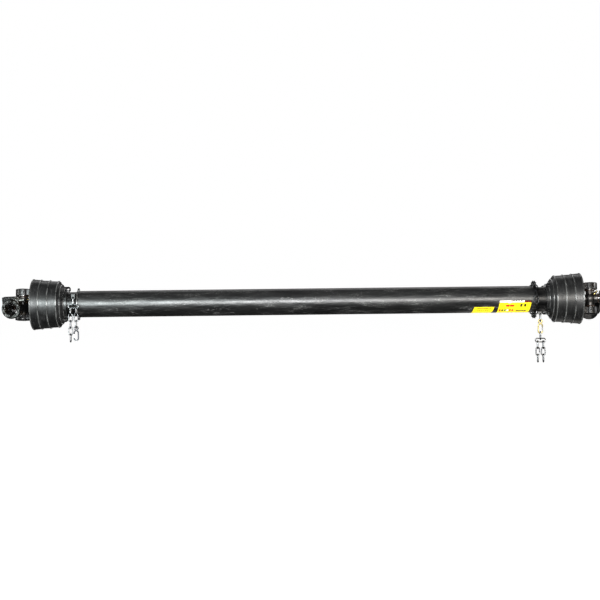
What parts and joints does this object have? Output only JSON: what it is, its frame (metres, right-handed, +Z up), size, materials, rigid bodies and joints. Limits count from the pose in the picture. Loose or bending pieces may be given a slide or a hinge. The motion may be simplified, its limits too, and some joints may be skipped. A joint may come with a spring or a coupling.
{
  "type": "universal joint shaft",
  "caption": "Telescoping drive shaft with a cross-and-yoke joint at each end, a full-length guard tube with flared cones, and short restraint chains.",
  "frame": {"origin": "on the shaft axis, midway between the two cross centres with the shaft closed, where a cradle holds it", "axes": "+X along the shaft from the tractor end (a) to the implement end (b), +Z up, -Y towards the side with the labels"},
  "size_m": [1.5984, 0.1783, 0.2362],
  "materials": {
    "yoke_paint": "semi-gloss black paint over forged steel, oily and chipped at the edges",
    "forged_steel": "forged and ground",
    "bearing_steel": "ground",
    "spring_steel": "phosphated",
    "pin_steel": "zinc plated",
    "seal_rubber": "matte",
    "nipple_brass": "satin",
    "tube_steel": "drawn steel with a film of grease",
    "cone_plastic": "semi-gloss moulded, charcoal black",
    "collar_plastic": "semi-gloss moulded, black",
    "tube_plastic": "extruded, semi-gloss, fine scuffs along its length",
    "ring_nylon": "natural nylon",
    "zinc_screw": "zinc plated",
    "zinc_chain": "bright zinc plated",
    "hook_dark": "blackened",
    "hook_brass": "yellow zinc passivated",
    "label_vinyl": "printed vinyl, yellow"
  },
  "bodies": {
    "outer_guard": {"outer_guard_tube": "tube_plastic", "collar_a": "collar_plastic", "guard_cone_a": "cone_plastic", "bearing_ring_a": "ring_nylon", "guard_screws_a": "zinc_screw", "label_small": "label_vinyl", "label_large": "label_vinyl"},
    "outer_drive": {"outer_drive_tube": "tube_steel", "tube_yoke_a": "yoke_paint", "roll_pin_a": "spring_steel", "needles_inner_a": "bearing_steel", "cups_inner_a": "bearing_steel", "clips_inner_a": "spring_steel"},
    "cross_a": {"cross_a": "forged_steel", "seals_a": "seal_rubber", "grease_nipple_a": "nipple_brass"},
    "end_yoke_a": {"end_yoke_a": "yoke_paint", "pin_spring_a": "spring_steel", "pin_keeper_a": "pin_steel", "needles_outer_a": "bearing_steel", "cups_outer_a": "bearing_steel", "clips_outer_a": "spring_steel"},
    "push_pin_a": {"push_pin_a": "pin_steel"},
    "inner_drive": {"inner_drive_tube": "tube_steel", "tube_yoke_b": "yoke_paint", "roll_pin_b": "spring_steel", "needles_inner_b": "bearing_steel", "cups_inner_b": "bearing_steel", "clips_inner_b": "spring_steel"},
    "cross_b": {"cross_b": "forged_steel", "seals_b": "seal_rubber", "grease_nipple_b": "nipple_brass"},
    "end_yoke_b": {"end_yoke_b": "yoke_paint", "pin_spring_b": "spring_steel", "pin_keeper_b": "pin_steel", "needles_outer_b": "bearing_steel", "cups_outer_b": "bearing_steel", "clips_outer_b": "spring_steel"},
    "push_pin_b": {"push_pin_b": "pin_steel"},
    "inner_guard": {"inner_guard_tube": "tube_plastic", "collar_b": "collar_plastic", "guard_cone_b": "cone_plastic", "bearing_ring_b": "ring_nylon", "guard_screws_b": "zinc_screw", "chain_b_wrap": "zinc_chain"},
    "chain_a_top": {"chain_a_hanger": "zinc_chain", "chain_a_connector": "zinc_chain"},
    "chain_a_left": {"chain_a_strand_left": "zinc_chain"},
    "chain_a_right": {"chain_a_strand_right": "zinc_chain"},
    "snap_hook_a": {"snap_hook_a": "hook_dark"},
    "snap_gate_a": {"snap_gate_a": "zinc_chain"},
    "chain_b_top": {"chain_b_hanger": "zinc_chain"},
    "snap_hook_b": {"snap_hook_b": "hook_brass"},
    "snap_gate_b": {"snap_gate_b": "zinc_chain"},
    "chain_b_middle": {"chain_b_link": "zinc_chain", "chain_b_connector": "zinc_chain"},
    "chain_b_left": {"chain_b_strand_left": "zinc_chain"},
    "chain_b_right": {"chain_b_strand_right": "zinc_chain"}
  },
  "joints": [
    {"name": "drive_turn", "type": "hinge", "parent": "outer_guard", "child": "outer_drive", "pos_m": [0, 0, 0], "axis": [1, 0, 0], "continuous": true},
    {"name": "cross_swing_a", "type": "hinge", "parent": "outer_drive", "child": "cross_a", "pos_m": [-0.755, 0, 0], "axis": [0, -0.1392, -0.9903], "range_deg": [-1.5, 161.5]},
    {"name": "yoke_fold_a", "type": "hinge", "parent": "cross_a", "child": "end_yoke_a", "pos_m": [-0.755, 0, 0], "axis": [0.9848, -0.172, 0.0242], "range_deg": [-31.5, 0.5]},
    {"name": "push_pin_travel_a", "type": "slide", "parent": "end_yoke_a", "child": "push_pin_a", "axis": [-0.9848, 0.172, -0.0242], "range_m": [0, 0.007], "stiffness_N_per_m": 2500, "springref_m": -0.004, "deforming": ["pin_spring_a"]},
    {"name": "shaft_telescope", "type": "slide", "parent": "outer_drive", "child": "inner_drive", "axis": [1, 0, 0], "range_m": [0, 0.65]},
    {"name": "cross_swing_b", "type": "hinge", "parent": "inner_drive", "child": "cross_b", "pos_m": [0.755, 0, 0], "axis": [0, 0.1392, 0.9903], "range_deg": [-161.5, 1.5]},
    {"name": "yoke_fold_b", "type": "hinge", "parent": "cross_b", "child": "end_yoke_b", "pos_m": [0.755, 0, 0], "axis": [-0.9848, 0.172, -0.0242], "range_deg": [-31.5, 0.5]},
    {"name": "push_pin_travel_b", "type": "slide", "parent": "end_yoke_b", "child": "push_pin_b", "axis": [-0.9848, 0.172, -0.0242], "range_m": [0, 0.007], "stiffness_N_per_m": 2500, "springref_m": -0.004, "deforming": ["pin_spring_b"]},
    {"name": "inner_guard_turn", "type": "hinge", "parent": "inner_drive", "child": "inner_guard", "pos_m": [0, 0, 0], "axis": [1, 0, 0], "continuous": true},
    {"name": "chain_a_swing", "type": "hinge", "parent": "outer_guard", "child": "chain_a_top", "pos_m": [-0.614, -0.046, 0.0175], "axis": [0, 1, 0], "range_deg": [-9, 9]},
    {"name": "chain_a_left_swing", "type": "hinge", "parent": "chain_a_top", "child": "chain_a_left", "pos_m": [-0.6213, -0.046, -0.0098], "axis": [1, 0, 0], "range_deg": [-60, 15]},
    {"name": "chain_a_right_swing", "type": "hinge", "parent": "chain_a_top", "child": "chain_a_right", "pos_m": [-0.6067, -0.046, -0.0098], "axis": [1, 0, 0], "range_deg": [-60, 15]},
    {"name": "snap_hook_a_swing", "type": "hinge", "parent": "chain_a_right", "child": "snap_hook_a", "pos_m": [-0.6067, -0.046, -0.0632], "axis": [0, 1, 0], "range_deg": [-25, 3]},
    {"name": "snap_gate_a_turn", "type": "hinge", "parent": "snap_hook_a", "child": "snap_gate_a", "pos_m": [-0.6122, -0.046, -0.0752], "axis": [0, 1, 0], "range_deg": [-25, 0], "stiffness_Nm_per_rad": 0.02, "springref_deg": 22.92},
    {"name": "chain_b_swing", "type": "hinge", "parent": "inner_guard", "child": "chain_b_top", "pos_m": [0.622, 0, -0.0385], "axis": [0, 1, 0], "range_deg": [-20, 20]},
    {"name": "snap_hook_b_swing", "type": "hinge", "parent": "chain_b_top", "child": "snap_hook_b", "pos_m": [0.622, 0, -0.0595], "axis": [0, 1, 0], "range_deg": [-25, 25]},
    {"name": "snap_gate_b_turn", "type": "hinge", "parent": "snap_hook_b", "child": "snap_gate_b", "pos_m": [0.6275, 0, -0.0715], "axis": [0, 1, 0], "range_deg": [0, 25], "stiffness_Nm_per_rad": 0.02, "springref_deg": -22.92},
    {"name": "chain_b_middle_swing", "type": "hinge", "parent": "snap_hook_b", "child": "chain_b_middle", "pos_m": [0.622, 0, -0.0855], "axis": [0, 1, 0], "range_deg": [-20, 20]},
    {"name": "chain_b_left_swing", "type": "hinge", "parent": "chain_b_middle", "child": "chain_b_left", "pos_m": [0.6147, 0, -0.1144], "axis": [1, 0, 0], "range_deg": [-60, 60]},
    {"name": "chain_b_right_swing", "type": "hinge", "parent": "chain_b_middle", "child": "chain_b_right", "pos_m": [0.6293, 0, -0.1144], "axis": [1, 0, 0], "range_deg": [-60, 60]}
  ]
}
